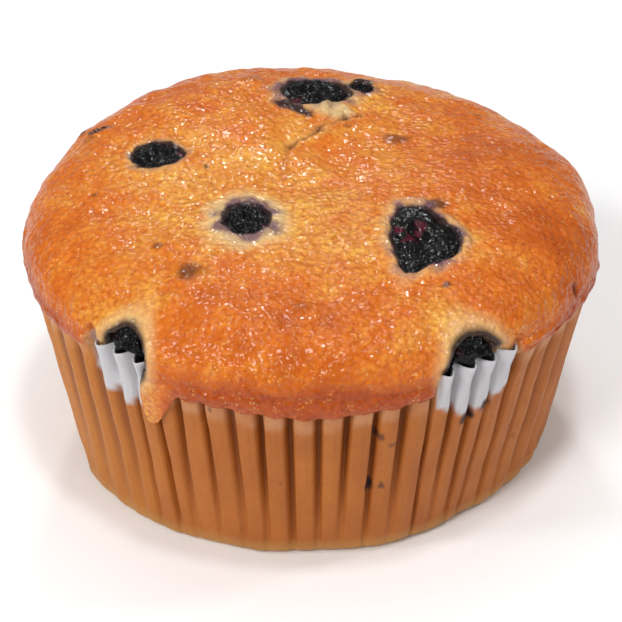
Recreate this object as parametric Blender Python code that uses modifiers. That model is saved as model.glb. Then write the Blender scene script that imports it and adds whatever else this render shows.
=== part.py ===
"""A berry muffin in the fluted paper case that it was baked in, standing on its flat base.

The cake, the case and each berry are separate solids with a thin gap between them. Lengths are in
metres, +Z is up and the origin is the centre of the base. Angles round the muffin are in degrees:
0 is the front (-Y) and +90 is the right (+X).
"""

import math
from collections import namedtuple

import bmesh
import bpy
from mathutils import Matrix, Vector

MM = 0.001
GAP = 0.3 * MM
TINY = 0.01 * MM

# Paper case
FLUTES = 64
PAPER = 0.2 * MM
BASE_RADIUS = 34.4 * MM
RIM_RADIUS = 40.0 * MM
RIM_HEIGHT = 31.4 * MM
FOOT_HEIGHT = 1.2 * MM
FOOT_INSET = 1.0 * MM
COVERED_EDGE = 29.0 * MM
FREE_EDGE = 32.4 * MM
FLUTE_DEPTH_BASE = 0.5 * MM
FLUTE_DEPTH_RIM = 2.6 * MM
CREST_HALF = 0.30
GROOVE_HALF = 0.08
FIRST_FLUTE = -1.3

# Stretches of the rim where a berry pushes the crust back and the paper stands free:
# the angle of the middle and the half width
FREE_STRETCHES = ((-39.5, 7.8), (33.4, 9.4), (156.2, 8.4))
# Places where the flutes are pinched together: the angle and how far they are drawn towards it
PINCHES = ((46.0, -3.4), (-48.0, 2.8))
PINCH_WIDTH = 16.0

# Cake
CORNERS = 4
DOME_SIDES = FLUTES
DOME_RADIUS = 40.2 * MM
DOME_RISE = 8.7 * MM
DOME_FLATNESS = 4.9
SHOULDER_ROUNDNESS = 2.37
LIP_RADIUS = 40.6 * MM
LIP_THICKNESS = 2.0 * MM
RECESS_RADIUS = 36.5 * MM
RECESS_FLARE = 1.5
RECESS_MARGIN = 6.4
WALL_NARROWING = 0.175

# Berries
BERRY_SIDES = 15
BERRY_RINGS = 7
FLAT_TOP = 0.45
ROUND_TOP = 1.0
Berry = namedtuple("Berry", "name angle distance length width height top turn crater sink")
BERRIES = (
    Berry("berry_crown", 179.0, 24.2, 10.8, 8.2, 7.6, FLAT_TOP, 8, 75, 0.9),
    Berry("berry_crown_small", 163.4, 28.2, 5.4, 4.6, 4.6, FLAT_TOP, 30, 40, 0.9),
    Berry("berry_left", -105.0, 22.6, 7.4, 6.0, 6.0, FLAT_TOP, -8, 60, 0.7),
    Berry("berry_middle", -39.5, 14.0, 6.6, 6.8, 6.2, FLAT_TOP, 20, 10, 0.9),
    Berry("berry_right", 42.8, 21.4, 9.6, 11.0, 7.4, FLAT_TOP, -30, 65, 0.8),
    Berry("berry_left_shoulder", -117.0, 36.4, 6.4, 6.0, 5.6, FLAT_TOP, 0, 80, 0.8),
    Berry("berry_left_rim", -37.2, 38.6, 7.2, 7.2, 7.2, ROUND_TOP, 0, 50, 2.7),
    Berry("berry_right_rim", 31.8, 38.6, 8.8, 7.6, 7.4, ROUND_TOP, 0, 50, 2.7),
    Berry("berry_back_rim", 156.2, 39.3, 7.8, 7.0, 7.0, ROUND_TOP, 0, 50, 3.2),
)

PARTS = "berry_muffin"
CUTTERS = "cutters"


def wrapped(angle):
    """The same angle, between -180 and 180 degrees."""
    return (angle + 180.0) % 360.0 - 180.0


def at(radius, angle, height):
    """The point at a distance from the axis, an angle from the front and a height."""
    turn = math.radians(angle)
    return Vector((radius * math.sin(turn), -radius * math.cos(turn), height))


def polar(point):
    """A point's distance from the axis and its angle from the front."""
    return math.hypot(point.x, point.y), math.degrees(math.atan2(point.x, -point.y))


def flute_angle(position):
    """The angle of a place counted in flutes from the front one, with the pinches drawn in."""
    even = wrapped(FIRST_FLUTE + 360.0 * position / FLUTES)
    drawn = sum(pull * math.exp(-((even - middle) / PINCH_WIDTH) ** 2) for middle, pull in PINCHES)
    return even + drawn


def wall_radius(height):
    """Radius of the paper over the flutes' crests: the wall widens evenly from base to rim."""
    return BASE_RADIUS + (RIM_RADIUS - BASE_RADIUS) * height / RIM_HEIGHT


def flute_depth(height):
    """Depth of the grooves between the crests, which deepen towards the rim."""
    return FLUTE_DEPTH_BASE + (FLUTE_DEPTH_RIM - FLUTE_DEPTH_BASE) * height / RIM_HEIGHT


def stands_free(angle, margin=0.0):
    """Whether a place on the rim lies in front of a rim berry."""
    return any(abs(wrapped(angle - middle)) < half + margin for middle, half in FREE_STRETCHES)


def flute_corner(point, narrowing=0.0):
    """The angle of a turned wall's point moved to its flute corner, and 1 in a groove or 0 on a crest."""
    step = 360.0 / (FLUTES * CORNERS)
    index = round(polar(point)[1] / step)
    flute, corner = divmod(index, CORNERS)
    crest = CREST_HALF - narrowing
    groove = GROOVE_HALF + narrowing
    phase = (-crest, crest, 0.5 - groove, 0.5 + groove)[corner]
    return flute_angle(flute + phase), int(corner >= 2)


def swell(share, angle):
    """How much higher the dome's unevenly risen back shoulders stand, at a share of the radius."""
    turn = math.radians(angle)
    back = (1.0 - math.cos(turn)) / 2.0
    return share * back * (0.5 + 2.0 * math.sin(turn) + 2.8 * math.sin(2.0 * turn)) * MM


def crust_height(radius, angle):
    """Height of the dome: nearly flat over the middle, with a steep round shoulder."""
    share = min(radius / DOME_RADIUS, 1.0)
    curve = (1.0 - share**DOME_FLATNESS) ** (1.0 / SHOULDER_ROUNDNESS)
    return RIM_HEIGHT + (DOME_RISE + swell(share, angle)) * curve


def crust_normal(radius, angle):
    """The direction that the crust faces."""
    step = 0.1 * MM
    slope = (crust_height(radius + step, angle) - crust_height(radius - step, angle)) / (2.0 * step)
    return at(-slope, angle, 1.0).normalized()


def collection(name):
    """A new collection in the scene."""
    made = bpy.data.collections.new(name)
    bpy.context.scene.collection.children.link(made)
    return made


def material(name, colour, roughness):
    """A plain food or paper finish, its colour in linear light."""
    made = bpy.data.materials.new(name)
    made.use_nodes = True
    shader = made.node_tree.nodes["Principled BSDF"]
    shader.inputs["Base Color"].default_value = (*colour, 1.0)
    shader.inputs["Roughness"].default_value = roughness
    shader.inputs["Metallic"].default_value = 0.0
    made.diffuse_color = (*colour, 1.0)
    return made


def new_object(name, mesh, group, finish=None):
    """An object for a mesh, shaded smooth but for its creases."""
    made = bpy.data.objects.new(name, mesh)
    group.objects.link(made)
    if finish:
        mesh.materials.append(finish)
    mesh.shade_smooth()
    mesh.set_sharp_from_angle(angle=math.radians(40))
    return made


def turned(name, profile, group):
    """A mesh turned from a profile of (radius, height) points, with one column for each flute corner."""
    outline = bpy.data.meshes.new(name + "_profile")
    points = [(radius, 0.0, height) for radius, height in profile]
    outline.from_pydata(points, [(i, i + 1) for i in range(len(points) - 1)], [])
    guide = bpy.data.objects.new(name + "_profile", outline)
    group.objects.link(guide)
    screw = guide.modifiers.new("Turn", "SCREW")
    screw.axis = "Z"
    screw.angle = math.tau
    screw.steps = FLUTES * CORNERS
    screw.render_steps = FLUTES * CORNERS
    screw.use_merge_vertices = True
    screw.merge_threshold = TINY
    graph = bpy.context.evaluated_depsgraph_get()
    mesh = bpy.data.meshes.new_from_object(guide.evaluated_get(graph))
    mesh.name = name
    bpy.data.objects.remove(guide)
    return mesh


def make_case(group, finish):
    """The fluted paper case: a turned wall and base pleated at the flutes' corners, then thickened."""
    profile = (
        (wall_radius(COVERED_EDGE), COVERED_EDGE),
        (wall_radius(FOOT_HEIGHT), FOOT_HEIGHT),
        (BASE_RADIUS - FOOT_INSET, 0.0),
        (0.0, 0.0),
    )
    mesh = turned("paper_case", profile, group)
    for vertex in mesh.vertices:
        radius = polar(vertex.co)[0]
        if radius < FOOT_INSET:
            continue
        height = vertex.co.z
        angle, in_groove = flute_corner(vertex.co)
        if height > FOOT_HEIGHT * 2.0 and stands_free(angle):
            height = FREE_EDGE
            radius = wall_radius(height)
        vertex.co = at(radius - in_groove * flute_depth(height), angle, height)
    case = new_object("paper_case", mesh, group, finish)
    paper = case.modifiers.new("Paper", "SOLIDIFY")
    paper.thickness = PAPER
    paper.offset = -1.0
    paper.use_even_offset = True
    return case


def cake_profile():
    """Points of the cake's outline from the top of the dome down to the centre of its base."""
    inset = PAPER + GAP
    shares = (0.28, 0.55, 0.75, 0.86, 0.93, 0.97, 0.995)
    dome = [(share * DOME_RADIUS, crust_height(share * DOME_RADIUS, 0.0)) for share in shares]
    underside = COVERED_EDGE + GAP
    lip = [
        (LIP_RADIUS - 0.15 * MM, underside + 1.5 * LIP_THICKNESS),
        (LIP_RADIUS, underside + LIP_THICKNESS),
        (LIP_RADIUS - 0.2 * MM, underside + 0.4 * LIP_THICKNESS),
        (LIP_RADIUS - 0.8 * MM, underside + 0.05 * LIP_THICKNESS),
    ]
    wall = [
        (wall_radius(underside) - inset, underside),
        (wall_radius(FOOT_HEIGHT) - inset, FOOT_HEIGHT + inset),
        (BASE_RADIUS - FOOT_INSET - inset, inset),
    ]
    return [(0.0, crust_height(0.0, 0.0)), *dome, *lip, *wall, (0.0, inset)], underside


def shape_cake(mesh, underside):
    """Pleats the wall to fit inside the paper, and lets the dome swell and draw back at rim berries."""
    for vertex in mesh.vertices:
        radius, angle = polar(vertex.co)
        height = vertex.co.z
        if radius < FOOT_INSET:
            continue
        if height < underside + TINY:
            angle, in_groove = flute_corner(vertex.co, WALL_NARROWING)
            radius -= in_groove * flute_depth(height)
        else:
            angle = flute_angle(round(angle * DOME_SIDES / 360.0))
            if radius < DOME_RADIUS and height > underside + 1.5 * LIP_THICKNESS + TINY:
                height = crust_height(radius, angle)
            if stands_free(angle, RECESS_MARGIN):
                radius = min(radius, RECESS_RADIUS + RECESS_FLARE * max(0.0, height - FREE_EDGE - GAP))
        vertex.co = at(radius, angle, height)


def thin_columns(mesh, underside):
    """Merges the columns above the wall, where there are no flutes, down to DOME_SIDES."""
    step = 360.0 / (FLUTES * CORNERS)
    each = FLUTES * CORNERS // DOME_SIDES
    edit = bmesh.new()
    edit.from_mesh(mesh)
    rows = {}
    for vertex in edit.verts:
        radius, angle = polar(vertex.co)
        if vertex.co.z > underside + TINY and radius > FOOT_INSET:
            column = round(angle / step) % (FLUTES * CORNERS)
            rows[(column, round(radius / MM, 2), round(vertex.co.z / MM, 2))] = vertex
    kept = {}
    for (column, radius, height), vertex in rows.items():
        if column % each:
            kept[vertex] = rows[(column - column % each, radius, height)]
    bmesh.ops.weld_verts(edit, targetmap=kept)
    edit.to_mesh(mesh)
    edit.free()


def make_cake(group, finish):
    """The cake: crumb pleated by the case below, and a domed crust with a lip that hangs over the paper."""
    profile, underside = cake_profile()
    mesh = turned("cake", profile, group)
    thin_columns(mesh, underside)
    shape_cake(mesh, underside)
    return new_object("cake", mesh, group, finish)


def berry_frame(berry):
    """The place of a berry's middle and the way it sits in the crust."""
    distance = berry.distance * MM
    normal = crust_normal(distance, berry.angle)
    middle = at(distance, berry.angle, crust_height(distance, berry.angle)) - berry.sink * MM * normal
    upright = Vector((0.0, 0.0, 1.0)).rotation_difference(normal).to_matrix()
    return Matrix.Translation(middle) @ (upright @ Matrix.Rotation(math.radians(berry.turn), 3, "Z")).to_4x4()


def behind_paper(point):
    """The point drawn in to where the paper's grooves leave room."""
    radius, angle = polar(point)
    room = wall_radius(COVERED_EDGE) - flute_depth(COVERED_EDGE) - PAPER - GAP
    room += RECESS_FLARE * max(0.0, point.z - FREE_EDGE - GAP)
    return at(min(radius, room), angle, point.z)


def berry_mesh(berry, extra=0.0):
    """A baked berry: a squashed ball with a crown crater, flattened at the crust and swollen by extra."""
    edit = bmesh.new()
    bmesh.ops.create_uvsphere(edit, u_segments=BERRY_SIDES, v_segments=BERRY_RINGS, radius=1.0)
    lean = Matrix.Rotation(math.radians(berry.crater), 3, "X")
    size = Vector((berry.length, berry.width, berry.height)) * MM / 2.0
    frame = berry_frame(berry)
    for vertex in edit.verts:
        ball = vertex.co.copy()
        spoke = math.atan2(ball.y, ball.x)
        if ball.z > 0.99:
            ball *= 0.72
        elif ball.z > 0.85:
            ball *= 1.0 + 0.05 * math.cos(5.0 * spoke)
        ball = lean @ ball
        ball *= 1.0 + 0.04 * math.sin(3.0 * ball.x + berry.angle) * math.cos(4.0 * ball.y + berry.turn)
        if ball.z > 0.0:
            ball.z *= berry.top
        vertex.co = behind_paper(frame @ Vector((ball.x * size.x, ball.y * size.y, ball.z * size.z)))
    edit.normal_update()
    moves = [vertex.normal * extra for vertex in edit.verts]
    for vertex, move in zip(edit.verts, moves):
        vertex.co += move
    mesh = bpy.data.meshes.new(berry.name)
    edit.to_mesh(mesh)
    edit.free()
    return mesh


def sink_berry(berry, cake, parts, cutters, finish):
    """A berry and the pocket that it lies in."""
    new_object(berry.name, berry_mesh(berry), parts, finish)
    pocket = new_object(berry.name + "_pocket", berry_mesh(berry, GAP * 1.1), cutters)
    pocket.hide_render = True
    pocket.display_type = "WIRE"
    cut = cake.modifiers.new(pocket.name, "BOOLEAN")
    cut.operation = "DIFFERENCE"
    cut.solver = "EXACT"
    cut.object = pocket


for old in list(bpy.data.objects):
    bpy.data.objects.remove(old)

parts = collection(PARTS)
cutters = collection(CUTTERS)
crust = material("golden crust", (0.62, 0.24, 0.05), 0.35)
paper = material("soaked baking paper", (0.42, 0.16, 0.05), 0.6)
skin = material("baked berry skin", (0.02, 0.014, 0.016), 0.3)

make_case(parts, paper)
cake = make_cake(parts, crust)
for berry in BERRIES:
    sink_berry(berry, cake, parts, cutters, skin)
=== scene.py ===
"""Looks of a berry muffin in the fluted paper case that it was baked in.

Sizes are in millimetres until a mesh is placed, and the scene is in metres. +Z is up. Angles round
the muffin are in degrees: 0 is the front (-Y) and +90 is the right (+X).
"""

import math

import bpy
import numpy as np
from mathutils import Euler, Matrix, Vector, noise


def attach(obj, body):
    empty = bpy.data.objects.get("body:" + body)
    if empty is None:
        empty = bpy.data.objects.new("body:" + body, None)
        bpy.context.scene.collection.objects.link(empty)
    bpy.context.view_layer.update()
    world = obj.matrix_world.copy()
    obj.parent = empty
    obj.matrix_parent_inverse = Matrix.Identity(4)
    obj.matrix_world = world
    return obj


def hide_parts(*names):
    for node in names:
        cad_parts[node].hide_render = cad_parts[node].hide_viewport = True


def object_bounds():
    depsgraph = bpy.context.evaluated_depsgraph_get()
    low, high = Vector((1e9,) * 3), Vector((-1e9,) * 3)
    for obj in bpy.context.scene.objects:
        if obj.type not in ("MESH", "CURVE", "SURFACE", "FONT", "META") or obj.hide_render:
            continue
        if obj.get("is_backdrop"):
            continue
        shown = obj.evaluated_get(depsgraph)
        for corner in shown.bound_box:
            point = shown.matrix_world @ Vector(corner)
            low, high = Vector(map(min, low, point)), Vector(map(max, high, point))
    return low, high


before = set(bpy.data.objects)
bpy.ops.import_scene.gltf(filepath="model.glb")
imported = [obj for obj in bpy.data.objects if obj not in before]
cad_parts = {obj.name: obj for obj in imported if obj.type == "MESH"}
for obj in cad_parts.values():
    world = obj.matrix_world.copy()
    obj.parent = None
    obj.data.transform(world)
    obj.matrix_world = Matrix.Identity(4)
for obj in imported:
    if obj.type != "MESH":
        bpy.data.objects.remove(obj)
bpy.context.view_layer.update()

# ---------------------------------------------------------------------------------------------
# The table and the light. A plain white table in a pale room, with a soft key lamp at the front
# left, a soft fill and a soft top light, and four smaller lamps that make the glaze sparkle.
# ---------------------------------------------------------------------------------------------
MM = 0.001
CAMERA_DISTANCE = 300.0
CAMERA_RAISE = math.radians(34.46)
LOOK_HEIGHT = 17.4
LENS = 120.15
TABLE_HALF = 1500.0
LAMPS = (
    # name, place, width, power in watts, colour
    ("key", (-330.0, -480.0, 520.0), 240.0, 2.5, "#FFFFFF"),
    ("fill", (440.0, -540.0, 330.0), 420.0, 0.6, "#FFFFFF"),
    ("soft_top", (0.0, 180.0, 820.0), 480.0, 0.95, "#FFFFFF"),
    ("above", (50.0, -140.0, 780.0), 90.0, 1.3, "#FFFFFF"),
    ("behind", (-60.0, 560.0, 500.0), 90.0, 0.95, "#FFFFFF"),
    ("left_high", (-420.0, -200.0, 430.0), 90.0, 0.6, "#FFFFFF"),
    ("right_high", (480.0, 40.0, 540.0), 90.0, 0.6, "#FFFFFF"),
)


def linear(colour):
    """An sRGB hex colour as linear red, green, blue and alpha."""
    parts = [int(colour[i : i + 2], 16) / 255.0 for i in (1, 3, 5)]
    return (*[p / 12.92 if p <= 0.04045 else ((p + 0.055) / 1.055) ** 2.4 for p in parts], 1.0)


def add(tree, kind, settings=None, links=None, out=0):
    """Adds a shader node with its settings, fills its sockets, and gives one of its outputs."""
    made = tree.nodes.new("ShaderNode" + kind)
    for name, value in (settings or {}).items():
        setattr(made, name, value)
    for name, value in (links or {}).items():
        socket = made.inputs[name]
        if isinstance(value, bpy.types.NodeSocket):
            tree.links.new(value, socket)
        else:
            socket.default_value = value
    return made.outputs[out]


def new_material(name):
    """An empty material: its node tree and its output node."""
    made = bpy.data.materials.new(name)
    made.use_nodes = True
    made.node_tree.nodes.clear()
    return made, made.node_tree, made.node_tree.nodes.new("ShaderNodeOutputMaterial")


def aim(thing, place, target):
    """Puts a lamp or camera at a place, looking at a target."""
    thing.location = Vector(place) * MM
    thing.rotation_euler = (Vector(target) - Vector(place)).to_track_quat("-Z", "Y").to_euler()


bpy.ops.object.select_all(action="DESELECT")
camera = bpy.data.objects.new("camera", bpy.data.cameras.new("camera"))
bpy.context.scene.collection.objects.link(camera)
camera.data.lens = LENS
camera.data.sensor_width = 36.0
camera.data.clip_start = 10.0 * MM
camera_place = (
    0.0,
    -CAMERA_DISTANCE * math.cos(CAMERA_RAISE),
    LOOK_HEIGHT + CAMERA_DISTANCE * math.sin(CAMERA_RAISE),
)
aim(camera, camera_place, (0.0, 0.0, LOOK_HEIGHT))
bpy.context.scene.camera = camera

for name, place, width, power, colour in LAMPS:
    lamp = bpy.data.objects.new(name, bpy.data.lights.new(name, "AREA"))
    bpy.context.scene.collection.objects.link(lamp)
    lamp.data.shape = "DISK"
    lamp.data.size = width * MM
    lamp.data.energy = power
    lamp.data.color = linear(colour)[:3]
    aim(lamp, place, (0.0, 0.0, LOOK_HEIGHT))

world = bpy.data.worlds.new("pale room")
world.use_nodes = True
world.node_tree.nodes["Background"].inputs["Color"].default_value = linear("#FFFFFF")
world.node_tree.nodes["Background"].inputs["Strength"].default_value = 0.26
bpy.context.scene.world = world
bpy.context.scene.view_settings.view_transform = "Standard"

bpy.ops.mesh.primitive_plane_add(size=2.0 * TABLE_HALF * MM, location=(0.0, 0.0, 0.0))
table = bpy.context.object
table.name = "table"
# Matt white laminate: an even, very slightly mottled white with no gloss to speak of.
laminate, tree, surface = new_material("matt white laminate")
mottle = add(tree, "TexNoise", links={"Vector": add(tree, "TexCoord", out=3), "Scale": 4.0})
shade = add(
    tree,
    "Mix",
    {"data_type": "RGBA"},
    {0: mottle, 6: linear("#FAFAFA"), 7: linear("#FFFFFF")},
    out=2,
)
add_board = add(tree, "BsdfPrincipled", links={"Base Color": shade, "Roughness": 0.85})
tree.links.new(add_board, surface.inputs["Surface"])
table.data.materials.append(laminate)
table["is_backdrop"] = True

# ---------------------------------------------------------------------------------------------
# The paper case. One sheet of thin greaseproof baking paper, pressed into 64 flutes with a flat
# base. Butter has soaked it orange-brown except for the dry white tips that stand free of the cake.
# ---------------------------------------------------------------------------------------------
FLUTES = 64
COLUMNS = 16 * FLUTES
BASE_RADIUS = 34.4
RIM_RADIUS = 40.0
RIM_HEIGHT = 31.4
FIRST_FLUTE = -1.3
PINCHES = ((46.0, -3.4), (-48.0, 2.8))
PINCH_WIDTH = 16.0
PAPER = 0.16
WALL_TOP = 29.4
TUCKED = 0.55
FREE_EDGE = 32.4
# Stretches where the paper stands free of the crust: the middle and the half width
FREE_STRETCHES = ((-39.5, 7.8), (33.4, 9.4), (156.2, 8.4))
# How low the crust comes on the paper, by the angle from the front
CRUST_EDGE = (
    (-180, 30.2), (-150, 30.6), (-122, 29.9), (-98, 31.0), (-82, 31.1), (-73, 30.0), (-66, 29.5),
    (-56, 30.2), (-50, 30.9), (-46, 31.2), (-30, 29.2), (-24, 28.9), (-18, 28.7), (-7, 28.2),
    (-1.5, 27.8), (4.5, 28.1), (10, 28.6), (16, 28.8), (22, 29.3), (43, 31.6), (50, 31.3),
    (58, 30.8), (66, 30.6), (85, 30.2), (110, 30.8), (140, 30.0), (165, 30.4), (180, 30.2),
)
# How far the foot was squashed out of round, by the angle from the front
FOOT_OUTLINE = (
    (-180, 0.0), (-130, 0.0), (-100, -0.8), (-80, -0.4), (-60, 1.0), (-40, 0.6), (-20, -0.25),
    (0, -1.3), (20, -0.95), (40, -1.65), (60, -0.35), (80, 0.25), (100, 0.85), (130, 0.3), (180, 0.0),
)
WALL_ROWS = 34
ODDS = np.random.RandomState(64)


def wrapped(angle):
    """The same angle, between -180 and 180 degrees."""
    return (angle + 180.0) % 360.0 - 180.0


def smooth(low, high, value):
    """A soft step from 0 at low to 1 at high."""
    share = np.clip((value - low) / (high - low), 0.0, 1.0)
    return share * share * (3.0 - 2.0 * share)


def hill(distance, width):
    """A soft hump, 1 at no distance and nearly 0 at twice the width."""
    return np.exp(-((distance / width) ** 2))


def speckle(points, size, seed):
    """Smooth noise from -1 to 1 at each point, with lumps of about a size in millimetres."""
    shift = Vector((seed * 7.31, seed * 3.17, seed * 5.77))
    return np.array([noise.noise(Vector(point) / size + shift) for point in points])


def polar(points):
    """Each point's distance from the axis and its angle from the front."""
    return np.hypot(points[:, 0], points[:, 1]), np.degrees(np.arctan2(points[:, 0], -points[:, 1]))


def at(radius, angle, height):
    """Points at distances from the axis, angles from the front and heights."""
    turn = np.radians(angle)
    return np.stack([radius * np.sin(turn), -radius * np.cos(turn), height + 0.0 * turn], 1)


def flute_angle(position):
    """The angle of a place counted in flutes from the front one, with the pinches drawn in."""
    even = wrapped(FIRST_FLUTE + 360.0 * position / FLUTES)
    return even + sum(pull * hill(even - middle, PINCH_WIDTH) for middle, pull in PINCHES)


def wall_radius(height):
    """Radius of the paper over the flutes' crests."""
    return BASE_RADIUS + (RIM_RADIUS - BASE_RADIUS) * height / RIM_HEIGHT


def crust_edge(angle):
    """How low the crust comes on the paper."""
    return np.interp(wrapped(angle), [mark[0] for mark in CRUST_EDGE], [mark[1] for mark in CRUST_EDGE])


def squashed(angle, height):
    """How far the wall stands out of round: most at the foot, and not at all at the rim."""
    out = np.interp(wrapped(angle), [mark[0] for mark in FOOT_OUTLINE], [mark[1] for mark in FOOT_OUTLINE])
    return out * np.clip(1.0 - height / RIM_HEIGHT, 0.0, 1.0)


def freedom(angle, soft=1.3):
    """How free of the crust the paper stands, from 0 to 1, and the height of its edge there."""
    free = np.zeros_like(angle)
    for middle, half in FREE_STRETCHES:
        here = 1.0 - smooth(half - soft, half + soft, np.abs(wrapped(angle - middle)))
        free = np.maximum(free, here)
    covered = crust_edge(angle) + TUCKED
    return free, np.where(free > 0.5, FREE_EDGE, covered)


# How far round the muffin each flute place lies, to read a flute place from an angle
PLACES = np.linspace(-36.0, 36.0, 2881)
PLACE_ANGLES = FIRST_FLUTE + 360.0 * PLACES / FLUTES
PLACE_ANGLES = PLACE_ANGLES + sum(pull * hill(PLACE_ANGLES - mid, PINCH_WIDTH) for mid, pull in PINCHES)

groove_depth = ODDS.uniform(0.55, 1.25, FLUTES)
groove_start = ODDS.uniform(-7.0, 8.0, FLUTES)
groove_lean = ODDS.uniform(-0.16, 0.16, FLUTES)
groove_width = ODDS.uniform(0.45, 1.15, FLUTES)
crest_rise = ODDS.uniform(-0.35, 0.35, FLUTES)


def paper_groove(angle, height):
    """How far in the paper lies from its crests, in millimetres, and how deep in a groove it is."""
    place = np.interp(wrapped(angle), PLACE_ANGLES, PLACES)
    lean = groove_lean[np.floor(place).astype(int) % FLUTES] * (29.0 - height) / 29.0
    place = place + lean * (1.0 - smooth(26.0, 29.0, height))
    groove = np.floor(place).astype(int)
    off = place - groove - 0.5
    groove = groove % FLUTES
    width = groove_width[groove]
    soft = smooth(-0.21 * width - 0.05, -0.04, off)
    sharp = 1.0 - smooth(0.04, 0.13 * width + 0.05, off)
    crisp = np.where(off < 0.0, soft, sharp)
    wave = 0.5 + 0.5 * np.cos(2.0 * math.pi * off)
    side = smooth(33.0, 43.0, -angle) * (1.0 - smooth(88.0, 110.0, -angle))
    side = np.maximum(side, 0.8 * smooth(44.0, 58.0, angle) * (1.0 - smooth(95.0, 120.0, angle)))
    side = side * (1.0 - smooth(26.5, 29.5, height))
    shape = crisp * (1.0 - side) + wave * side
    fade = smooth(groove_start[groove] - 4.0, 27.0, height) ** 0.7
    open_tip = freedom(angle)[0] * smooth(25.0, 31.0, height)
    shape = shape * (1.0 - 0.55 * open_tip) + wave**1.3 * 0.55 * open_tip
    deepest = 1.65 * (1.0 - side) + 0.5 * side + 1.2 * open_tip
    depth = (0.18 + deepest * groove_depth[groove] * fade) * smooth(-0.5, 2.5, height)
    round_crest = 0.22 * fade * (1.0 - (2.0 * np.abs(off)) ** 2)
    return depth * shape + round_crest - squashed(angle, height), shape * fade


def in_edit_mode(thing):
    """Goes into edit mode on one object with nothing else selected."""
    bpy.ops.object.select_all(action="DESELECT")
    thing.select_set(True)
    bpy.context.view_layer.objects.active = thing
    bpy.ops.object.mode_set(mode="EDIT")


def points_of(mesh):
    """A mesh's points in millimetres."""
    flat = np.zeros(3 * len(mesh.vertices))
    mesh.vertices.foreach_get("co", flat)
    return flat.reshape(-1, 3) / MM


def move_points(mesh, points):
    """Moves a mesh's points to places in millimetres."""
    mesh.vertices.foreach_set("co", (points * MM).ravel())
    mesh.update()


def paint(mesh, name, values):
    """Keeps one number for each point of the mesh, for its material to read."""
    layer = mesh.attributes.new(name, "FLOAT", "POINT")
    layer.data.foreach_set("value", np.clip(values, 0.0, 1.0).astype(np.float32))


def apply_all(thing):
    """Applies every modifier in turn."""
    bpy.context.view_layer.objects.active = thing
    for modifier in list(thing.modifiers):
        bpy.ops.object.modifier_apply(modifier=modifier.name)


def grow_rings(rings, radius):
    """Extrudes the open edge of the mesh in edit mode outwards and upwards through its rings."""
    height = 0.0
    for wide, high in rings:
        bpy.ops.mesh.extrude_edges_move()
        bpy.ops.transform.resize(value=(wide / radius, wide / radius, 1.0))
        bpy.ops.transform.translate(value=(0.0, 0.0, (high - height) * MM))
        radius, height = wide, high


bpy.ops.mesh.primitive_circle_add(
    vertices=COLUMNS, radius=24.0 * MM, fill_type="NGON", location=(0.0, 0.0, 0.0)
)
case = bpy.context.object
case.name = "paper_case_fluted"
in_edit_mode(case)
bpy.ops.mesh.select_mode(type="EDGE")
bpy.ops.mesh.select_all(action="SELECT")
foot = [(29.0, 0.0), (31.9, 0.0), (33.0, 0.05), (33.7, 0.25), (34.2, 0.65), (34.55, 1.2)]
# The rows lie closer towards the top, where the flutes are deepest and the tips stayed dry
rows = [1.2 + (WALL_TOP - 1.2) * (row / WALL_ROWS) ** 0.75 for row in range(1, WALL_ROWS + 1)]
wall = [(wall_radius(row), row) for row in rows]
grow_rings(foot + wall, 24.0)
bpy.ops.mesh.select_all(action="SELECT")
bpy.ops.mesh.flip_normals()
bpy.ops.object.mode_set(mode="OBJECT")

points = points_of(case.data)
radius, angle = polar(points)
height = points[:, 2]
column = np.round(angle * COLUMNS / 360.0)
place = column / 16.0
angle = flute_angle(place)
free, edge = freedom(angle)
flute = np.round(place).astype(int) % FLUTES
edge = edge + crest_rise[flute] * free
lifted = height + (edge - WALL_TOP) * smooth(18.0, WALL_TOP, height)
on_wall = smooth(27.0, 33.0, radius)
inward, groove = paper_groove(angle, lifted)
spread = np.where(height > 1.2, wall_radius(lifted), radius)
ground = at(np.full_like(angle, 34.0), angle, height)
waves = 0.16 * speckle(ground, 8.0, 1) + 0.07 * speckle(ground, 2.6, 2)
ragged = 0.42 * speckle(at(np.full_like(angle, 34.0), angle, 0.0 * height), 5.0, 3)
ragged = ragged * (1.0 - smooth(1.0, 5.0, height))
kink = 0.22 * speckle(ground, 3.4, 4) * hill(height - 25.5, 2.4)
flare = 0.35 * free * smooth(29.0, 33.0, lifted)
spread = spread + on_wall * (waves + ragged + kink + flare - inward)
move_points(case.data, at(spread, angle, np.maximum(lifted, 0.0)))

# How far down the free tips stayed dry, by the angle from the front
DRY_LINE = (
    (-50, 26.5), (-46, 25.0), (-42.5, 23.9), (-40, 23.6), (-35.5, 24.0), (-31, 27.0), (22, 28.0), (26.3, 25.6),
    (32.5, 22.8), (36.6, 23.6), (41.5, 25.4), (44, 27.0),
)
dry_from = np.interp(angle, [mark[0] for mark in DRY_LINE], [mark[1] for mark in DRY_LINE])
dry_from = np.where(np.abs(angle) > 120.0, 25.0, dry_from)
dry_from = dry_from + 1.3 * groove
dry = free * smooth(dry_from - 0.3, dry_from + 0.5, lifted + 0.4 * speckle(ground, 1.4, 5))
under_crust = crust_edge(angle) - lifted
pale = (1.0 - smooth(2.0, 3.6, under_crust + 0.7 * speckle(ground, 2.0, 6))) * (1.0 - free)
paint(case.data, "pale_band", pale * (1.0 - groove) * (0.75 + 0.5 * speckle(ground, 3.0, 9)))
streak = (1.0 - smooth(0.6, 1.3, np.abs(angle - 61.2))) * smooth(25.4, 26.6, lifted + 0.5 * speckle(ground, 1.4, 5))
paint(case.data, "dry", np.maximum(dry * smooth(0.55, 0.72, free), 0.6 * streak))
# How deep in a groove each point lies; the material paints the grooves darker, partly deeper soaking and partly
# painted shade
paint(case.data, "groove", groove)
paint(case.data, "fold", (1.0 - smooth(0.9, 2.4, height + 0.4 * speckle(ground, 4.0, 7))) * on_wall)
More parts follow.
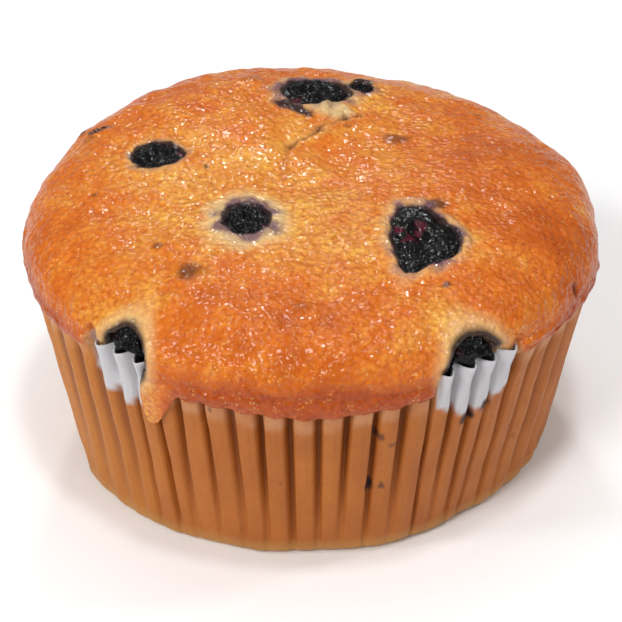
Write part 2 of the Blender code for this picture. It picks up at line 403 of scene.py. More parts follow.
# Painted light: the left side of the case is painted paler, where the light falls from the left
paint(case.data, "painted_left_light", smooth(20.0, 60.0, -angle) * (1.0 - smooth(150.0, 175.0, -angle)))
# Juice marks on the wall: angle, height, half width, half height, strength
WALL_JUICE = (
    (12.2, 13.2, 0.6, 1.2, 1.0),
    (14.8, 13.6, 0.45, 0.6, 0.75),
    (13.2, 23.1, 0.8, 0.7, 0.6),
    (16.5, 21.4, 1.0, 0.6, 0.55),
    (-19.2, 27.7, 0.4, 0.35, 0.6),
    (19.2, 2.2, 0.5, 0.3, 0.8),
    (12.5, 2.5, 0.4, 0.3, 0.8),
    (-6.2, 14.8, 0.3, 0.3, 0.4),
    (47.5, 15.8, 0.5, 0.4, 0.5),
    (50.5, 12.6, 0.4, 0.4, 0.4),
    (32.5, 22.5, 1.3, 0.9, 1.0),
    (36.9, 23.5, 1.1, 0.8, 0.9),
    (42.5, 27.4, 0.8, 1.4, 0.5),
    (-140.0, 12.0, 0.6, 1.0, 0.9),
    (112.0, 9.0, 0.5, 0.9, 0.8),
    (168.0, 18.0, 0.8, 0.7, 0.6),
    (-162.0, 22.0, 0.9, 0.7, 0.6),
)
juice = np.zeros_like(angle)
for around, up, half_width, half_height, strength in WALL_JUICE:
    sideways = wrapped(angle - around) * math.pi / 180.0 * wall_radius(up)
    reach = np.hypot(sideways / half_width, (lifted - up) / half_height)
    reach = reach + 0.35 * speckle(ground, 0.9, 8)
    juice = np.maximum(juice, strength * (1.0 - smooth(0.7, 1.3, reach)))
paint(case.data, "juice", juice)

paper_wall = case.modifiers.new("Paper", "SOLIDIFY")
paper_wall.thickness = PAPER * MM
paper_wall.offset = -1.0
apply_all(case)
bpy.ops.object.shade_smooth()

# Greaseproof baking paper, soaked with butter: a warm brown film with fine fibres and a dull sheen
# that lets a little light through. Where it stayed dry it is a matt white.
soaked, tree, surface = new_material("soaked greaseproof paper")
where = add(tree, "TexCoord", out=3)
fibre_map = add(tree, "Mapping", links={"Vector": where, "Scale": (1.0, 1.0, 0.45)})
# Fibres about 0.4 mm apart, cloudy soaking about 4 mm across
fibres = add(tree, "TexNoise", links={"Vector": fibre_map, "Scale": 2500.0, "Detail": 4.0})
clouds = add(tree, "TexNoise", links={"Vector": fibre_map, "Scale": 260.0, "Detail": 3.0})


def read(tree, name):
    """The number painted on the mesh under a name."""
    return add(tree, "Attribute", {"attribute_name": name}, out=2)


def mix(tree, share, low, high):
    """One colour turning into another."""
    low = linear(low) if isinstance(low, str) else low
    high = linear(high) if isinstance(high, str) else high
    return add(tree, "Mix", {"data_type": "RGBA"}, {0: share, 6: low, 7: high}, out=2)


def spread_of(tree, value, low, high, start=0.0, end=1.0):
    """A number stretched from one span to another and held inside it."""
    return add(tree, "MapRange", links={0: value, 1: low, 2: high, 3: start, 4: end})


colour = mix(tree, spread_of(tree, clouds, 0.3, 0.7), "#A55C26", "#B46A2B")
# Painted light: the left of the case is painted paler, as lit from the left
colour = mix(tree, spread_of(tree, read(tree, "painted_left_light"), 0.0, 1.0, 0.0, 0.75), colour, "#BF7A36")
colour = mix(tree, spread_of(tree, fibres, 0.52, 0.75, 0.0, 0.35), colour, "#8A4E22")
# The grooves are painted dark brown: partly the deeper soaking, partly painted shade
colour = mix(tree, spread_of(tree, read(tree, "groove"), 0.3, 0.95, 0.0, 0.8), colour, "#74380E")
colour = mix(tree, spread_of(tree, read(tree, "fold"), 0.0, 1.0, 0.0, 0.55), colour, "#C39A58")
colour = mix(tree, spread_of(tree, read(tree, "pale_band"), 0.0, 1.0, 0.0, 0.4), colour, "#D2A37C")
colour = mix(tree, read(tree, "dry"), colour, "#C4C2C5")
colour = mix(tree, spread_of(tree, read(tree, "juice"), 0.1, 0.9), colour, "#2A1420")
bump_of_fibres = add(
    tree, "Bump", links={"Strength": 0.35, "Distance": 0.00008, "Height": fibres}
)
paper_body = add(
    tree,
    "BsdfPrincipled",
    links={
        "Base Color": colour,
        "Roughness": 0.52,
        "IOR": 1.45,
        "Specular IOR Level": 0.2,
        "Coat Weight": 0.05,
        "Coat Roughness": 0.3,
        "Normal": bump_of_fibres,
    },
)
tree.links.new(paper_body, surface.inputs["Surface"])
case.data.materials.append(soaked)
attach(case, "root")
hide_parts("paper_case")

# ---------------------------------------------------------------------------------------------
# The cake. Soft yellow crumb baked in the case, with a thin shiny crust that has risen into a low
# dome, browned towards its edge, and run down over the paper. The berries sit in pockets in it.
# ---------------------------------------------------------------------------------------------
DOME_RADIUS = 40.2
DOME_RISE = 8.7
DOME_FLATNESS = 4.9
SHOULDER_ROUNDNESS = 2.37
MIDDLE_SPAN = 10
MIDDLE_RADIUS = 24.0
BANDS = 7
CRUST_LEVELS = 4


def swell(share, angle):
    """How much higher the dome's unevenly risen back shoulders stand, at a share of the radius."""
    turn = np.radians(angle)
    back = (1.0 - np.cos(turn)) / 2.0
    return share * back * (0.5 + 2.0 * np.sin(turn) + 2.8 * np.sin(2.0 * turn))


def crust_height(radius, angle):
    """Height of the dome: nearly flat over the middle, with a steep round shoulder."""
    share = np.minimum(radius / DOME_RADIUS, 1.0)
    curve = (1.0 - share**DOME_FLATNESS) ** (1.0 / SHOULDER_ROUNDNESS)
    return RIM_HEIGHT + (DOME_RISE + swell(share, angle)) * curve


# The line that the crust follows from the middle of the dome to its edge, and then over the lip
bend = np.linspace(0.0, 1.0, 1500) ** 2.45 * math.pi / 2.0
line_radius = DOME_RADIUS * np.sin(bend) ** (2.0 / DOME_FLATNESS)
line_rise = np.cos(bend) ** (2.0 / SHOULDER_ROUNDNESS)
line_length = np.concatenate(
    [[0.0], np.cumsum(np.hypot(np.diff(line_radius), DOME_RISE * np.diff(line_rise)))]
)
DOME_LENGTH = line_length[-1]
# Lip where the crust hangs over the paper, and where it stays behind free paper: radius, height
OVER_LIP = ((40.2, 31.4), (40.45, 30.6), (40.5, 29.9), (40.35, 29.3), (40.0, 28.9), (39.5, 28.85), (38.6, 29.2), (37.0, 29.3))
BEHIND_LIP = ((39.4, 31.4), (39.3, 31.0), (39.15, 30.6), (39.0, 30.2), (38.8, 29.8), (38.5, 29.4), (38.0, 28.8), (37.0, 28.0))
LIP_LENGTH = 6.4

# Berries that press up through the crust: name, x, y, reach in even steps from the front round by
# the right, how far the top stands proud, depth, seed
Berries = (
    ("berry_crown", 0.8, 24.2, (4.1, 3.9, 5.0, 4.5, 4.5, 4.6, 5.0, 5.0), 0.9, 4.2, 11),
    ("berry_crown_small", 7.5, 27.0, (2.1, 1.8, 1.5, 2.0, 2.0, 1.7, 1.6, 1.8), 0.8, 2.6, 12),
    ("berry_left", -21.5, 5.7, (3.2, 3.1, 3.7, 3.1, 3.3, 4.0, 3.7, 3.6), 0.7, 3.6, 13),
    ("berry_middle", -8.7, -11.0, (3.9, 3.7, 3.1, 3.0, 3.7, 3.3, 3.0, 3.4), 0.8, 3.6, 14),
    (
        "berry_right", 15.3, -16.5,
        (5.4, 4.7, 4.5, 4.5, 4.4, 4.2, 4.2, 4.6, 7.2, 7.9, 6.0, 5.0, 4.7, 4.7, 5.6, 7.3), 0.9, 4.2, 15,
    ),
    ("berry_left_shoulder", -31.7, 16.1, (2.8, 2.2, 1.9, 2.6, 2.9, 2.4, 1.9, 2.3), 0.2, 2.8, 16),
)
# The shoulder berry is baked in, and shows only through a short slit: x, y, half length, half width
SHOULDER_SLIT = (-30.7, 15.1, 1.4, 0.62)
SHOULDER_SUNK = 0.4
# Berries on the rim: name, angle, distance, height, half width, half height, half depth, seed
RIM_BERRIES = (
    ("berry_left_rim", -37.0, 37.0, 32.2, 3.6, 3.7, 3.0, 17),
    ("berry_right_rim", 31.6, 36.9, 32.4, 4.1, 3.8, 3.1, 18),
    ("berry_back_rim", 156.2, 36.6, 32.0, 3.9, 3.4, 3.0, 19),
)


def reach_of(reaches, toward):
    """How far a berry reaches from its middle in directions given in degrees from the front."""
    closed = [*reaches, reaches[0]]
    return np.interp(toward % 360.0, np.arange(len(closed)) * 360.0 / len(reaches), closed)


def nearness(points, middle_x, middle_y, reaches):
    """How far out points lie from a berry's middle: 1 is at its outline."""
    off_x = points[:, 0] - middle_x
    off_y = points[:, 1] - middle_y
    toward = np.degrees(np.arctan2(off_x, -off_y))
    return np.hypot(off_x, off_y) / reach_of(reaches, toward)


bpy.ops.mesh.primitive_circle_add(
    vertices=4 * MIDDLE_SPAN, radius=MIDDLE_RADIUS * MM, fill_type="NOTHING", location=(0.0, 0.0, 0.0)
)
cake = bpy.context.object
cake.name = "cake_and_crust"
in_edit_mode(cake)
bpy.ops.mesh.select_mode(type="EDGE")
bpy.ops.mesh.select_all(action="SELECT")
bpy.ops.mesh.fill_grid(span=MIDDLE_SPAN)
bpy.ops.object.mode_set(mode="OBJECT")


def select_open_edge(thing):
    """Selects the edges that only one face uses, and leaves the object in edit mode."""
    in_edit_mode(thing)
    bpy.ops.mesh.select_mode(type="EDGE")
    bpy.ops.mesh.select_all(action="DESELECT")
    bpy.ops.mesh.select_non_manifold(
        extend=False, use_wire=False, use_boundary=True, use_multi_face=False, use_non_contiguous=False
    )


select_open_edge(cake)
full = DOME_LENGTH + LIP_LENGTH
bands = [(MIDDLE_RADIUS + (full - MIDDLE_RADIUS) * band / BANDS, 0.0) for band in range(1, BANDS + 1)]
grow_rings(bands, MIDDLE_RADIUS)
bpy.ops.mesh.select_all(action="SELECT")
bpy.ops.mesh.normals_make_consistent(inside=False)
bpy.ops.object.mode_set(mode="OBJECT")
rounding = cake.modifiers.new("Rounding", "SUBSURF")
rounding.levels = CRUST_LEVELS
rounding.render_levels = CRUST_LEVELS
apply_all(cake)

flat = points_of(cake.data)
along, angle = polar(flat)
along = along * full / along.max()
free, edge = freedom(angle)
beyond = np.clip((along - DOME_LENGTH) / LIP_LENGTH, 0.0, 1.0)
radius = np.interp(along, line_length, line_radius)
rise = np.interp(along, line_length, line_rise)
height = RIM_HEIGHT + (DOME_RISE + swell(radius / DOME_RADIUS, angle)) * rise
radius = radius - 0.9 * free * (1.0 - smooth(31.4, 34.0, height))


def lip(line, share):
    """Radius and height at a share of the way along a lip."""
    stops = np.linspace(0.0, 1.0, len(line))
    return np.interp(share, stops, [p[0] for p in line]), np.interp(share, stops, [p[1] for p in line])


over_radius, over_height = lip(OVER_LIP, beyond)
hang = (31.9 - crust_edge(angle)) / 3.0
over_height = RIM_HEIGHT - (RIM_HEIGHT - over_height) * hang
behind_radius, behind_height = lip(BEHIND_LIP, beyond)
place = np.interp(wrapped(angle), PLACE_ANGLES, PLACES)
# Each crest of the paper carries its own small lobe of crust, and one tongue has run down a flute
on_edge = hill(beyond - 0.55, 0.34) * (beyond > 0.0)
lobes = 0.5 + 0.5 * np.cos(2.0 * math.pi * place)
around = at(np.full_like(angle, 40.0), angle, 0.0 * angle)
dip = 0.30 * lobes + 0.30 * speckle(around, 6.0, 21)
over_height = over_height - on_edge * dip
narrow = 0.25 * hill(wrapped(angle + 95.0), 30.0) + 0.15 * hill(wrapped(angle - 118.0), 22.0)
over_radius = over_radius + on_edge * (0.22 * lobes - 0.42) - narrow
aside = angle + 30.2 + 0.4 * speckle(around, 1.5, 37)
tongue = np.clip(1.0 - (aside / np.where(aside < 0.0, 2.4, 5.0)) ** 2, 0.0, 1.0)
tongue = np.where(aside < 0.0, np.sqrt(tongue), tongue**1.6)
over_height = over_height - on_edge * 6.8 * tongue
free = free * (1.0 - smooth(0.1, 0.5, tongue) * (beyond > 0.0))
angle = angle - 0.32 * on_edge * 6.8 * tongue
lie = wall_radius(over_height) + 0.5 - 1.3 * smooth(0.56, 0.8, beyond)
over_radius = over_radius + on_edge * tongue * (lie - over_radius)
radius = np.where(beyond > 0.0, over_radius + (behind_radius - over_radius) * free, radius)
height = np.where(beyond > 0.0, over_height + (behind_height - over_height) * free, height)
# Behind the free tips the crumb fills the flutes
inward, groove = paper_groove(angle, height)
room = wall_radius(height) - inward - PAPER - 0.35
fills = free * (1.0 - smooth(edge - 0.3, edge + 2.2, height))
radius = radius + fills * (np.minimum(radius, room) - radius)
points = at(radius, angle, height)
move_points(cake.data, points)

facing = np.zeros(3 * len(points))
cake.data.vertices.foreach_get("normal", facing)
facing = facing.reshape(-1, 3)
on_top = 1.0 - smooth(0.0, 0.55, beyond)
relief = 0.34 * speckle(points, 15.0, 22) + 0.34 * speckle(points, 5.5, 23) + 0.16 * speckle(points, 3.0, 34)
relief = relief - narrow * smooth(30.0, 38.0, radius) * on_top
# Ripples about 2 mm and 1 mm across where the batter bubbled and dried
ripples = 0.17 * speckle(points, 1.9, 24) + 0.11 * speckle(points, 1.0, 25)
ripples = ripples * (1.0 - smooth(0.5, 0.75, beyond)) * (0.75 + 0.5 * speckle(points, 7.0, 33))
# Smooth where the middle rose as one skin and in patches elsewhere, bubbled in the other places
skinned = 0.62 * hill(np.hypot(points[:, 0] - 4.0, points[:, 1] - 8.0), 9.0)
skinned = skinned + 0.5 * hill(np.hypot(points[:, 0] + 9.0, points[:, 1] - 8.0), 6.0)
skinned = skinned + 0.30 * smooth(0.0, 0.7, speckle(points, 5.0, 48)) * (1.0 - hill(radius - 40.0, 6.0))
bubbled = np.clip(1.0 - skinned, 0.15, 1.0)
ripples = ripples * (0.4 + 0.6 * bubbled)
# The smooth swollen roll at the front, with a shallow dip behind it
front = hill(angle - 2.0, 26.0) * (along < DOME_LENGTH)
relief = relief + 0.55 * front * hill(radius - 35.0, 5.0) - 0.35 * front * hill(radius - 27.5, 2.6)

# The crack that the risen middle tore, with one side standing higher, and the bare crumb beside it
CRACK = (
    (6.9, 17.6), (4.9, 16.7), (2.7, 15.2), (1.0, 12.9), (-0.7, 10.4), (-2.1, 9.6), (-3.0, 7.6),
    (-3.5, 5.2), (-3.8, 2.6), (-3.2, 0.2),
)
wander = np.stack([speckle(points, 2.6, 26), speckle(points, 2.2, 36)], 1) * 0.7
wander = wander + np.stack([speckle(points, 0.9, 46), speckle(points, 0.9, 56)], 1) * 0.45
crack = np.full(len(points), 99.0)
crack_side = np.zeros(len(points))
for start, end in zip(CRACK, CRACK[1:]):
    run = np.array(end) - np.array(start)
    off = points[:, :2] - np.array(start) + wander
    share = np.clip(off @ run / (run @ run), 0.0, 1.0)
    away = off - share[:, None] * run
    gap = np.hypot(away[:, 0], away[:, 1])
    nearer = gap < crack
    crack = np.where(nearer, gap, crack)
    crack_side = np.where(nearer, np.sign(run[0] * away[:, 1] - run[1] * away[:, 0]), crack_side)
crack_fade = 0.25 + 0.75 * smooth(6.0, 10.0, points[:, 1])
crack_fade = crack_fade * smooth(-1.0, 2.0, points[:, 1])
relief = relief - 0.95 * hill(crack, 0.36) * crack_fade
relief = relief + 0.42 * crack_side * hill(crack, 2.2) * smooth(0.0, 0.5, crack) * crack_fade
hump = np.hypot((points[:, 0] - 3.2) / 3.4, (points[:, 1] - 18.7) / 2.6) + 0.25 * speckle(points, 1.6, 57)
hump = 1.0 - smooth(0.6, 1.15, hump)
relief = relief + 0.75 * hump + 0.7 * hump * speckle(points, 1.4, 27)
# A wet purple streak of burst berry beside the hump
streak = np.hypot(points[:, 0] + 2.6 + 0.4 * (points[:, 1] - 19.0), 2.2 * (points[:, 1] - 18.9 + 0.5 * points[:, 0] + 1.3))
streak = 1.0 - smooth(1.6, 3.4, streak + 1.2 * speckle(points, 1.2, 58))

# How strongly each berry's juice has stained the crust round it
JUICY = {"berry_middle": 1.0, "berry_crown": 0.9, "berry_left": 0.45, "berry_right": 0.7}
pit = np.full(len(points), 9.0)
stain = np.zeros(len(points))
tint = np.zeros(len(points))
halo = np.zeros(len(points))
for name, middle_x, middle_y, reaches, proud, depth, seed in Berries:
    size = sum(reaches) / len(reaches)
    near = nearness(points, middle_x, middle_y, reaches)
    if name == "berry_left_shoulder":
        slit_x, slit_y, half_long, half_wide = SHOULDER_SLIT
        near = np.hypot((points[:, 0] - slit_x) / half_long, (points[:, 1] - slit_y) / half_wide)
    near = near + 0.35 / size * speckle(points, 1.3, seed)
    pit = np.minimum(pit, near)
    lapping = 0.34 + 0.4 * speckle(points, 1.6, seed + 20)
    relief = relief + lapping * hill((near - 1.2) * size, 0.8)
    relief = relief - 1.3 * (1.0 - smooth(0.70, 0.98, near))
    spread = near + 0.8 / size * speckle(points, 2.6, seed + 30)
    juicy = JUICY.get(name, 0.6)
    stain = np.maximum(stain, 1.0 - smooth(0.98, 1.06 + 0.5 / size, near))
    tint = np.maximum(tint, juicy * (1.0 - smooth(1.0, 1.1 + 3.2 * juicy / size, spread)))
    pallor = {"berry_middle": 1.0, "berry_right": 0.55, "berry_crown": 0.6}.get(name, 0.35)
    halo = np.maximum(halo, pallor * (1.0 - smooth(1.0, 1.1 + 4.8 * pallor / size, spread)))
for name, middle, distance, up, half_width, half_height, half_depth, seed in RIM_BERRIES:
    sideways = wrapped(angle - middle) * math.pi / 180.0 * 39.0
    near = np.hypot(sideways / half_width, (height - up) / half_height) + 0.06 * speckle(points, 1.6, seed)
    near = np.where(radius > 33.0, near, 9.0)
    pit = np.minimum(pit, near)
    relief = relief + 0.25 * hill((near - 1.2) * 3.6, 0.8) * on_top
    relief = relief - 1.7 * (1.0 - smooth(0.75, 1.0, near))
    stain = np.maximum(stain, 1.0 - smooth(0.95, 1.28, near))
    halo = np.maximum(halo, 0.6 * (1.0 - smooth(1.0, 1.8, near)))

# Berries just under the crust: x, y, half size, how dark they show
BURIED = (
    (-15.7, -23.0, 1.7, 0.75),
    (17.0, -8.6, 1.5, 0.8),
    (12.0, 11.0, 1.9, 0.6),
    (-14.6, 2.8, 0.5, 0.8),
    (-20.2, -16.6, 0.8, 0.6),
    (17.4, -25.8, 0.6, 0.8),
    (-29.7, -2.9, 0.5, 0.6),
    (-1.4, -31.0, 1.3, 0.22),
    (5.2, 14.4, 0.6, 0.4),
    (-9.0, 27.5, 1.6, 0.35),
    (24.5, 20.5, 0.7, 0.5),
    (-31.9, 13.4, 1.1, 0.4),
    (-33.5, 17.6, 0.9, 0.8),
    (-32.8, 18.7, 0.6, 0.7),
)
buried = np.zeros(len(points))
for spot_x, spot_y, half, dark in BURIED:
    reach = np.hypot(points[:, 0] - spot_x, points[:, 1] - spot_y) / half
    reach = reach + 0.4 * speckle(points, 0.9 * half + 0.3, 28)
    buried = np.maximum(buried, dark * (1.0 - smooth(0.45, 1.5, reach)))
    relief = relief + 0.22 * half * hill(reach, 1.0) * on_top
# A short open slit low on the right shoulder
slit = np.hypot(wrapped(angle - 61.7) / 0.9, (height - 33.7) / 1.0)
relief = relief - 0.8 * (1.0 - smooth(0.5, 1.2, slit)) * (radius > 33.0)
buried = np.maximum(buried, 0.85 * (1.0 - smooth(0.6, 1.3, slit)) * (radius > 33.0))

points = points + facing * (relief * (0.12 + 0.88 * on_top) + ripples)[:, None]
# The hanging edge lies on the paper and never inside it
reached, around_to = polar(points)
lies_on = wall_radius(points[:, 2]) + 0.32
hanging = (1.0 - smooth(0.52, 0.64, beyond)) * smooth(DOME_LENGTH - 3.0, DOME_LENGTH - 1.0, along)
hanging = hanging * (1.0 - free) * (1.0 - smooth(edge, edge + 0.6, points[:, 2]))
reached = reached + hanging * np.maximum(lies_on - reached, 0.0)
points = at(reached, around_to, points[:, 2])
move_points(cake.data, points)

# Where the oven left the crust paler (below 0) or browner: x, y, half size, amount
ZONES = (
    (-11.0, 0.0, 8.0, -0.30), (-5.0, -13.0, 7.0, -0.28), (6.0, -15.0, 6.0, -0.22),
    (-24.0, -30.0, 5.0, -0.42), (16.5, -32.5, 4.5, -0.40), (-3.0, 14.0, 6.0, -0.22),
    (9.0, 26.0, 6.0, -0.25), (7.0, -23.0, 4.0, -0.15), (-20.0, 10.0, 6.0, -0.12),
    (31.0, -12.0, 9.0, 0.34), (24.0, 8.0, 10.0, 0.26), (-32.0, -6.0, 8.0, 0.20),
    (0.0, -7.0, 7.0, -0.16), (21.5, -16.0, 5.0, -0.22), (-18.0, -11.0, 6.0, -0.18),
    (-27.0, 2.0, 6.0, -0.20), (-26.0, -23.0, 5.0, -0.10), (2.0, 9.0, 5.0, -0.10),
    (-8.0, 10.0, 4.0, 0.14), (4.0, 7.0, 4.0, 0.16), (-16.0, 26.0, 6.0, 0.10), (0.0, -33.0, 9.0, 0.18),
)
browned = 0.48 + 0.32 * hill(angle, 35.0) - 0.75 * tongue * (beyond > 0.05)
baked = 0.40 + 0.10 * smooth(20.0, 36.0, radius) + browned * (1.0 - smooth(29.5, 34.5, height))
for zone_x, zone_y, half, amount in ZONES:
    off = np.hypot(points[:, 0] - zone_x, points[:, 1] - zone_y)
    baked = baked + amount * hill(off + 0.35 * half * speckle(points, 0.7 * half, 47), half)
baked = baked + 0.20 * speckle(points, 9.0, 29) + 0.20 * speckle(points, 3.4, 30)
baked = baked - 0.22 * halo * (pit > 0.9)
paint(cake.data, "baked", baked)
stain = np.maximum(stain, 0.85 * streak)
paint(cake.data, "stain", stain)
paint(cake.data, "tint", tint * (0.85 + 1.2 * speckle(points, 2.0, 31)))
paint(cake.data, "halo", halo)
paint(cake.data, "bubbled", bubbled)
paint(cake.data, "buried", buried)
bare = np.maximum(hump, 0.35 * hill(crack, 1.6) * crack_fade)
bare = np.maximum(bare, free * (1.0 - smooth(31.4, 33.4, height)))
# The crack mask carries painted shade: the material paints the crack dark brown
paint(cake.data, "crack", hill(crack, 0.52) * crack_fade)
paint(cake.data, "bare_crumb", bare)

# The crumb inside the case: the open edge is drawn down inside the paper and closed at the base
select_open_edge(cake)
bpy.ops.mesh.extrude_edges_move()
bpy.ops.transform.resize(value=(0.83, 0.83, 1.0))
bpy.ops.transform.resize(value=(1.0, 1.0, 0.0), center_override=(0.0, 0.0, 0.5 * MM))
bpy.ops.mesh.edge_face_add()
bpy.ops.mesh.select_all(action="SELECT")
bpy.ops.mesh.normals_make_consistent(inside=False)
bpy.ops.object.mode_set(mode="OBJECT")
in_edit_mode(cake)
bpy.ops.object.mode_set(mode="OBJECT")
bpy.ops.object.shade_smooth()

# Egg-glossed cake crust: golden where it is thin, brown where it browned, with a thin clear glaze
# of sugar that breaks the light into sparkles, and pale gold glints painted on some sugar grains.
# Berry juice has stained it purple near the berries.
crust, tree, surface = new_material("sugar glazed cake crust")
where = add(tree, "TexCoord", out=3)
# Blotches about 3 mm across, orange-peel bumps about 0.8 mm, dimples about 1 mm, sugar grains with painted
# glints about 0.4 mm, and colour flecks about 0.7 mm
blotches = add(tree, "TexNoise", links={"Vector": where, "Scale": 330.0, "Detail": 4.0})
pores = add(tree, "TexNoise", links={"Vector": where, "Scale": 1450.0, "Detail": 3.0})
peel = add(tree, "TexVoronoi", {"feature": "SMOOTH_F1"}, {"Vector": where, "Scale": 1200.0, "Smoothness": 0.5})
dimples = add(tree, "TexNoise", links={"Vector": where, "Scale": 980.0, "Detail": 1.0})
# The grains, with their painted glints, have melted into short uneven flecks
warp = add(tree, "TexNoise", links={"Vector": where, "Scale": 1900.0, "Detail": 1.0}, out=1)
warp = add(tree, "VectorMath", {"operation": "SCALE"}, {0: warp, "Scale": 0.0005})
flecked = add(tree, "VectorMath", {"operation": "ADD"}, {0: where, 1: warp})
grain_glint_shapes = add(tree, "TexVoronoi", links={"Vector": flecked, "Scale": 2500.0})
grain_glint_picks = add(tree, "TexVoronoi", links={"Vector": flecked, "Scale": 2500.0}, out=1)
grain_glint_patches = add(tree, "TexNoise", links={"Vector": where, "Scale": 420.0, "Detail": 2.0})
amount = add(
    tree,
    "Math",
    {"operation": "MULTIPLY_ADD"},
    {0: blotches, 1: 0.56, 2: add(tree, "Math", {"operation": "SUBTRACT"}, {0: read(tree, "baked"), 1: 0.28})},
)
colour = mix(tree, spread_of(tree, amount, 0.0, 0.5), "#E8AB46", "#D6721E")
colour = mix(tree, spread_of(tree, amount, 0.5, 1.0), colour, "#9C3C06")
# Painted shade: the hollows of the orange-peel bumps are painted a darker orange, partly the crust's own mottle
valley_tone_and_shade = add(
    tree,
    "Math",
    {"operation": "MULTIPLY"},
    {0: spread_of(tree, peel, 0.25, 0.6, 0.0, 0.48), 1: read(tree, "bubbled")},
)
colour = mix(tree, valley_tone_and_shade, colour, "#B8500F")
colour = mix(tree, spread_of(tree, pores, 0.5, 0.68, 0.0, 0.65), colour, "#AE4A0C")
# Painted highlight: one sugar grain in a few is painted pale gold as a glint, round and gathered in patches
painted_grain_glints = add(
    tree,
    "Math",
    {"operation": "MULTIPLY"},
    {0: spread_of(tree, grain_glint_picks, 0.5, 0.62), 1: spread_of(tree, grain_glint_shapes, 0.5, 0.2)},
)
painted_grain_glints = add(
    tree,
    "Math",
    {"operation": "MULTIPLY"},
    {0: painted_grain_glints, 1: spread_of(tree, grain_glint_patches, 0.44, 0.68, 0.03, 0.45)},
)
colour = mix(tree, painted_grain_glints, colour, "#F6C87C")
colour = mix(tree, spread_of(tree, read(tree, "halo"), 0.05, 0.8, 0.0, 0.85), colour, "#DDBE88")
colour = mix(tree, spread_of(tree, read(tree, "bare_crumb"), 0.1, 1.0, 0.0, 0.9), colour, "#D0B27E")
# Painted shade: the crack is painted dark brown where shade falls in it
colour = mix(tree, read(tree, "crack"), colour, "#552A0C")
colour = mix(tree, spread_of(tree, read(tree, "buried"), 0.05, 1.0), colour, "#3A1A10")
colour = mix(tree, spread_of(tree, read(tree, "tint"), 0.1, 0.9, 0.0, 0.85), colour, "#5E3A52")
colour = mix(tree, spread_of(tree, read(tree, "stain"), 0.05, 0.8, 0.0, 0.95), colour, "#1E0E16")
relief_of_peel = add(
    tree, "Bump", {"invert": True}, {"Strength": spread_of(tree, read(tree, "bubbled"), 0.0, 1.0, 0.15, 1.0), "Distance": 0.0002, "Height": peel}
)
relief_of_dimples = add(
    tree,
    "Bump",
    links={
        "Strength": spread_of(tree, read(tree, "bubbled"), 0.0, 1.0, 0.45, 1.0),
        "Distance": 0.00036,
        "Height": dimples,
        "Normal": relief_of_peel,
    },
)
crust_body = add(
    tree,
    "BsdfPrincipled",
    links={
        "Base Color": colour,
        "Roughness": 0.5,
        "IOR": 1.4,
        "Specular IOR Level": 0.05,
        "Coat Weight": 0.5,
        "Coat Roughness": 0.1,
        "Coat IOR": 1.5,
        "Normal": relief_of_dimples,
        "Coat Normal": relief_of_dimples,
    },
)
tree.links.new(crust_body, surface.inputs["Surface"])
cake.data.materials.append(crust)
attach(cake, "root")
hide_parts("cake")

# ---------------------------------------------------------------------------------------------
# The berries. Whole dark berries that burst and shrank in the oven: nearly black wrinkled skin
# with a grey bloom, and wet purple flesh where it split. Each sits in its own pocket in the cake.
# ---------------------------------------------------------------------------------------------
BERRY_DETAIL = 6
# Baked berry skin: blue-black and wrinkled, waxy in the hollows and wet on the ridges, with dark red
# flesh where the skin has split.
skin, tree, surface = new_material("baked berry skin")
where = add(tree, "TexCoord", out=3)
# Wrinkles about 0.9 mm apart, bloom in patches of about 2 mm
wrinkles = add(tree, "TexNoise", links={"Vector": where, "Scale": 1100.0, "Detail": 2.0})
bloom = add(tree, "TexNoise", links={"Vector": where, "Scale": 480.0, "Detail": 2.0})
colour = mix(tree, spread_of(tree, bloom, 0.45, 0.72, 0.0, 0.8), "#050404", "#100F11")
colour = mix(tree, spread_of(tree, read(tree, "flesh"), 0.2, 1.0, 0.0, 0.85), colour, "#4E0A1E")
relief_of_skin = add(tree, "Bump", links={"Strength": 0.9, "Distance": 0.0003, "Height": wrinkles})
berry_body = add(
    tree,
    "BsdfPrincipled",
    links={
        "Base Color": colour,
        "Roughness": 0.5,
        "IOR": 1.4,
        "Specular IOR Level": 0.04,
        "Coat Weight": 0.3,
        "Coat Roughness": 0.08,
        "Normal": relief_of_skin,
        "Coat Normal": relief_of_skin,
    },
)
tree.links.new(berry_body, surface.inputs["Surface"])

# Split skin: berry, direction from the front in degrees, how far out, half size
SPLITS = {
    "berry_left": ((96.0, 0.84, 0.17),),
    "berry_right": ((-172.0, 0.40, 0.13), (-115.0, 0.75, 0.13), (-140.0, 0.3, 0.1), (-80.0, 0.45, 0.2)),
    "berry_middle": ((45.0, 0.9, 0.14),),
    "berry_crown": ((-40.0, 0.85, 0.14),),
}


def crumple(ball, seed):
    """Folds and wrinkles of shrunken skin on a ball of radius 1."""
    lumps = 0.14 * speckle(ball, 0.8, seed) + 0.09 * speckle(ball, 0.34, seed + 40)
    wrinkles = -np.abs(speckle(ball, 0.19, seed + 80)) * 0.10 + 0.025
    return lumps + wrinkles


def ball_mesh(name):
    """A new ball of even small faces at the origin, and its points on a radius of 1."""
    bpy.ops.object.select_all(action="DESELECT")
    bpy.ops.mesh.primitive_ico_sphere_add(subdivisions=BERRY_DETAIL, radius=MM, location=(0, 0, 0))
    made = bpy.context.object
    made.name = name
    return made, points_of(made.data)


def finish_berry(berry, node, points, flesh):
    """Places a berry's points and gives it its skin."""
    move_points(berry.data, points)
    paint(berry.data, "flesh", flesh)
    bpy.ops.object.shade_smooth()
    berry.data.materials.append(skin)
    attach(berry, "root")
    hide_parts(node)


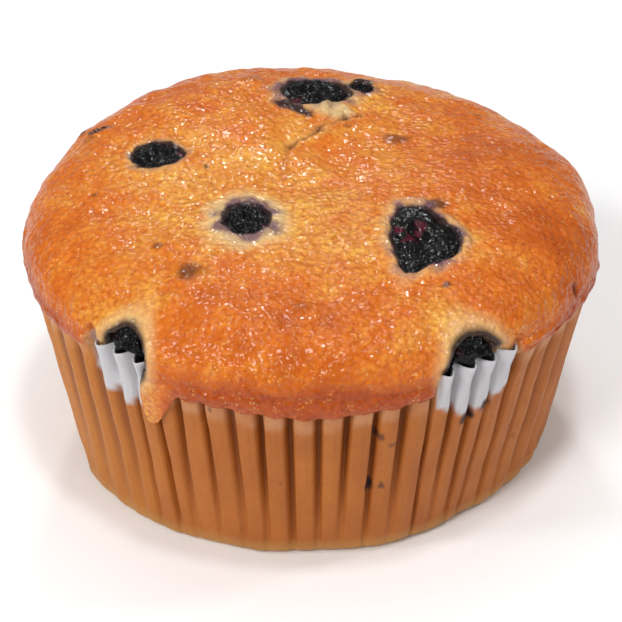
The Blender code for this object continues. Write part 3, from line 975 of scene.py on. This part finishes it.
for name, middle_x, middle_y, reaches, proud, depth, seed in Berries:
    berry, ball = ball_mesh(name + "_baked")
    toward = np.degrees(np.arctan2(ball[:, 0], -ball[:, 1]))
    out = np.hypot(ball[:, 0], ball[:, 1])
    swelling = 1.0 + crumple(ball, seed)
    wide = reach_of(reaches, toward) * (0.6 + 0.4 * swelling)
    off_x = ball[:, 0] * wide
    off_y = ball[:, 1] * wide
    off_x = 1.07 * off_x
    off_y = 1.07 * off_y
    # The crater left by the flower: a small hollow with a broken rim
    crater = np.hypot(ball[:, 0] + 0.22, ball[:, 1] - 0.12) + 0.12 * speckle(ball, 0.3, seed + 60)
    high = np.clip(ball[:, 2], 0.0, 1.0)
    up = np.where(ball[:, 2] > 0.0, proud * high**0.6, depth * ball[:, 2]) * swelling
    up = up + high * (0.55 * speckle(ball, 0.45, seed + 70) + 0.28 * speckle(ball, 0.2, seed + 75))
    up = up - 0.5 * hill(crater, 0.2) * high + 0.18 * hill(crater - 0.34, 0.12) * high
    x = middle_x + off_x
    y = middle_y + off_y
    seat = crust_height(np.hypot(x, y), np.degrees(np.arctan2(x, -y)))
    sunk = 0.55 + SHOULDER_SUNK * (name == "berry_left_shoulder")
    points = np.stack([x, y, seat - sunk + up], 1)
    flesh = np.zeros(len(ball))
    for direction, share, half in SPLITS.get(name, ()):
        split_x = share * math.sin(math.radians(direction))
        split_y = -share * math.cos(math.radians(direction))
        gap = np.hypot(ball[:, 0] - split_x, ball[:, 1] - split_y) / half
        gap = gap + 0.7 * speckle(ball, 0.14, seed + 5)
        flesh = np.maximum(flesh, (1.0 - smooth(0.6, 1.2, gap)) * (ball[:, 2] > 0.0))
    finish_berry(berry, name, points, flesh)

for name, middle, distance, up, half_width, half_height, half_depth, seed in RIM_BERRIES:
    berry, ball = ball_mesh(name + "_baked")
    swelling = 1.0 + crumple(ball, seed)
    facing_out = np.clip(-ball[:, 1], 0.0, 1.0)
    bulge = -ball[:, 1] * swelling + facing_out * 0.14 * speckle(ball, 0.3, seed + 70)
    outward = distance + half_depth * bulge
    sideways = half_width * ball[:, 0] * swelling
    height = up + half_height * ball[:, 2] * swelling
    angle = middle + np.degrees(sideways / 38.0)
    inward, groove = paper_groove(angle, height)
    free, edge = freedom(angle)
    room = wall_radius(height) - inward - PAPER - 0.25
    behind = 1.0 - smooth(edge - 0.2, edge + 1.2, height)
    outward = outward + behind * (np.minimum(outward, room) - outward)
    flesh = (1.0 - smooth(0.0, 0.35, np.hypot(ball[:, 0] + 0.45, ball[:, 2] - 0.55))) * 0.35
    finish_berry(berry, name, at(outward, angle, height), flesh)

# ---------------------------------------------------------------------------------------------
# The size of the finished muffin, from the bounds of the shown pieces.
# ---------------------------------------------------------------------------------------------
low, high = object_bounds()
